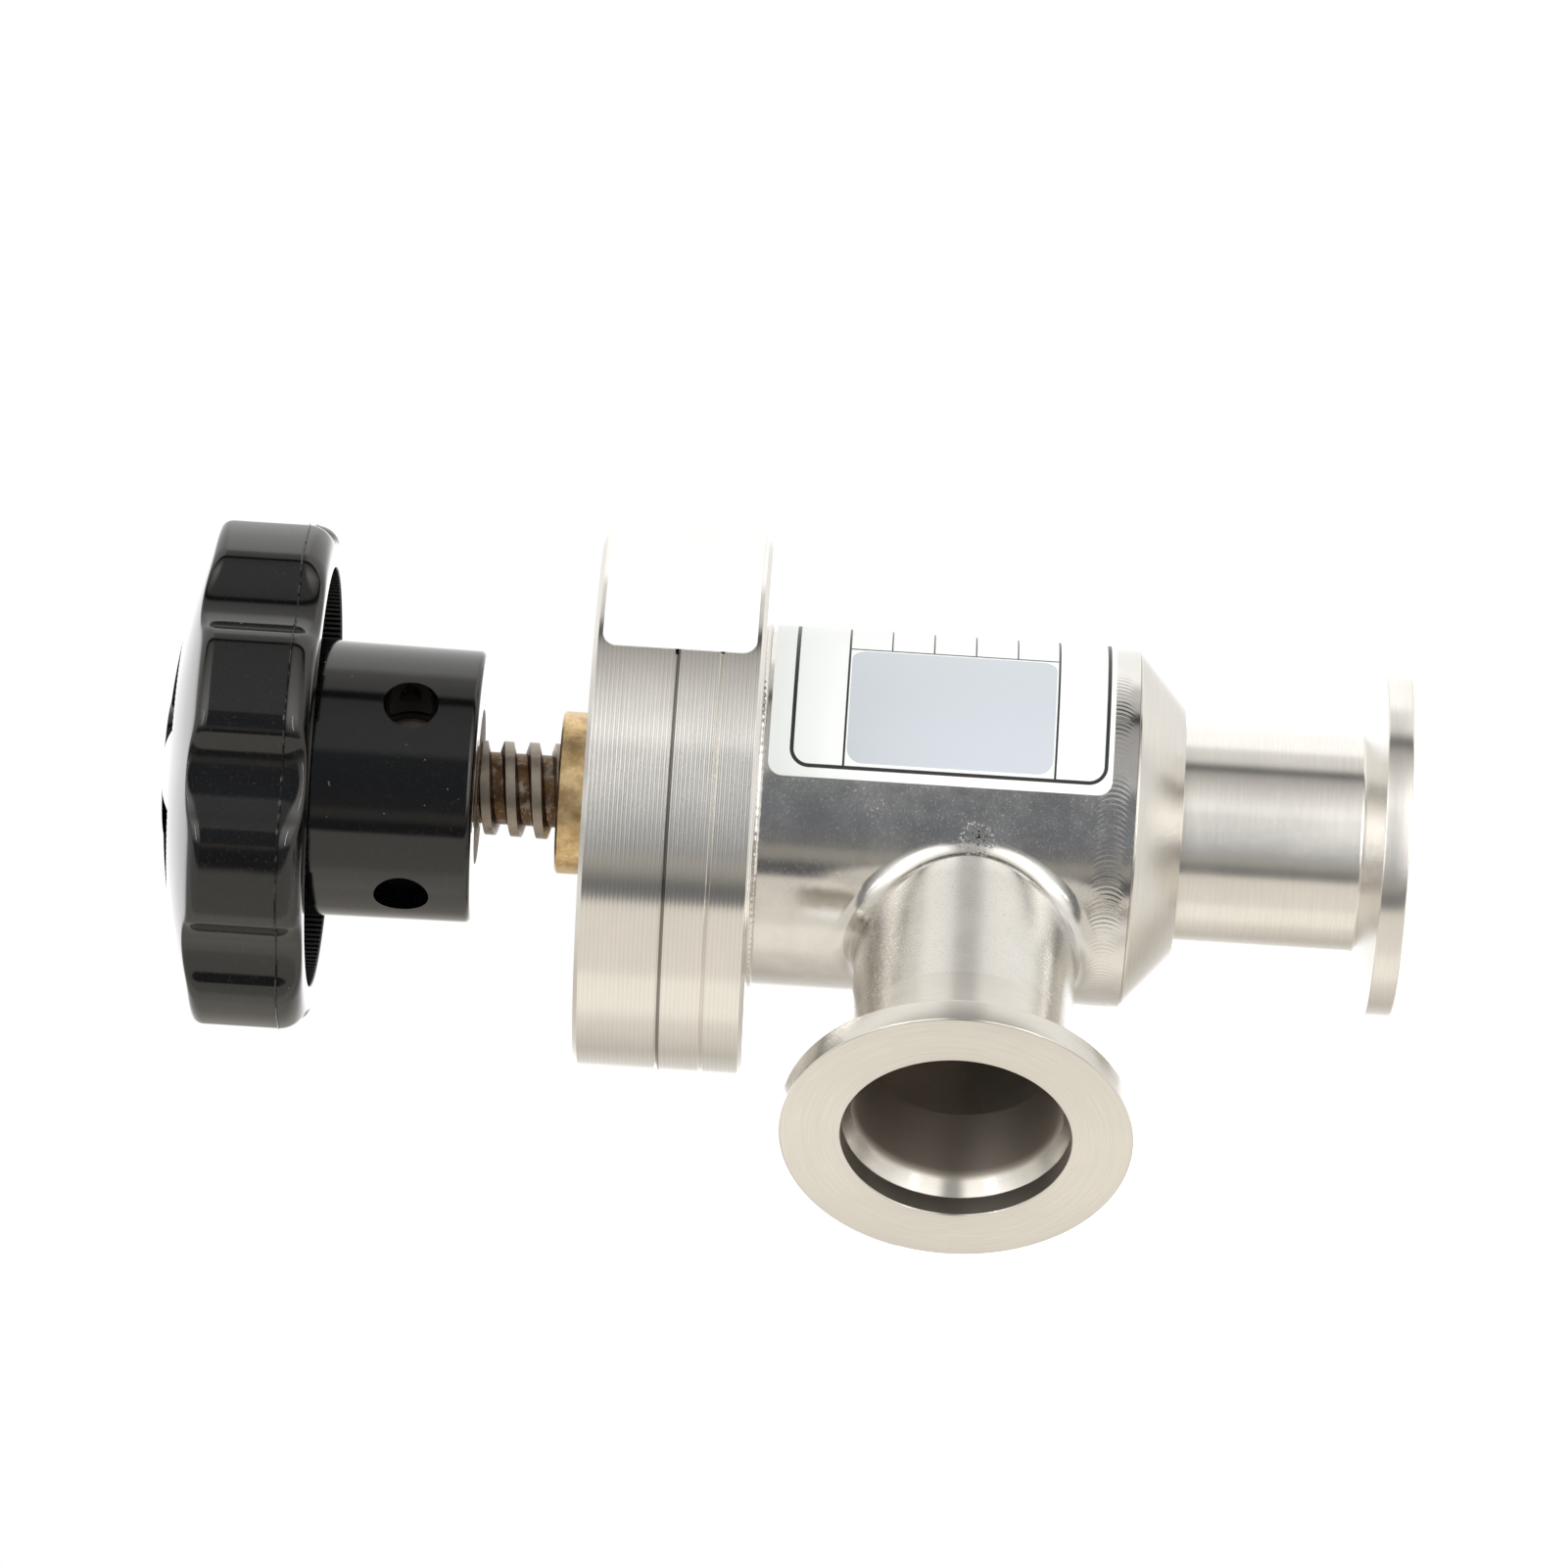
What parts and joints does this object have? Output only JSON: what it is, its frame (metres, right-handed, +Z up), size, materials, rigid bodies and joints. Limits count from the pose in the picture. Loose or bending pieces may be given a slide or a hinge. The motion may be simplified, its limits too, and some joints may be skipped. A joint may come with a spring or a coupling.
{
  "type": "angle valve",
  "caption": "Manual right-angle vacuum valve: bellows-sealed disc on a threaded stem with fluted handwheel, clamp flange ports at right angles.",
  "frame": {"origin": "centre of the end port's sealing face", "axes": "+Z up the stem axis to the handwheel, side port along -Y"},
  "size_m": [0.0635, 0.0817, 0.1445],
  "materials": {
    "port_steel": "satin, fine circumferential brushing",
    "turned_steel": "turned, fine concentric lines",
    "body_steel": "smooth polished stainless tube",
    "bellows_steel": "bright thin sheet",
    "stem_steel": "greased, brown film in the thread",
    "screw_steel": "bright zinc plate",
    "brass": "turned, lightly tarnished",
    "black_elastomer": "matt black elastomer",
    "black_moulding": "glossy black thermoset moulding with a flash line",
    "label_film": "white film with a blank grid in black line",
    "sticker_film": "blank white paper film"
  },
  "bodies": {
    "valve_body": {"end_port_flange": "port_steel", "side_port_flange": "port_steel", "seat_cap": "turned_steel", "body_shell": "body_steel", "body_flange": "turned_steel", "flange_weld": "body_steel", "flange_seal": "black_elastomer", "bellows_flange": "turned_steel", "bellows": "bellows_steel", "bonnet_cover": "turned_steel", "bonnet_screws": "screw_steel", "stem_nut": "brass", "body_label": "label_film", "rim_sticker": "sticker_film"},
    "disc_carriage": {"valve_disc": "turned_steel", "disc_seal": "black_elastomer", "seal_retainer": "turned_steel", "retainer_screw": "screw_steel", "disc_carrier": "turned_steel", "thrust_ball": "screw_steel", "stem_retainer": "brass"},
    "handwheel": {"stem": "stem_steel", "handwheel": "black_moulding", "hub_bushing": "brass", "set_screws": "screw_steel"}
  },
  "joints": [
    {"name": "disc_lift", "type": "slide", "parent": "valve_body", "child": "disc_carriage", "axis": [0, 0, 1], "range_m": [-0.0075, 0], "deforming": ["bellows"]},
    {"name": "handwheel_turn", "type": "hinge", "parent": "disc_carriage", "child": "handwheel", "pos_m": [0, 0, 0.1], "axis": [0, 0, 1], "range_deg": [-900, 0]}
  ],
  "couplings": [
    {"joint": "handwheel_turn", "follows": "disc_lift", "rad_per_m": 2094.4}
  ]
}
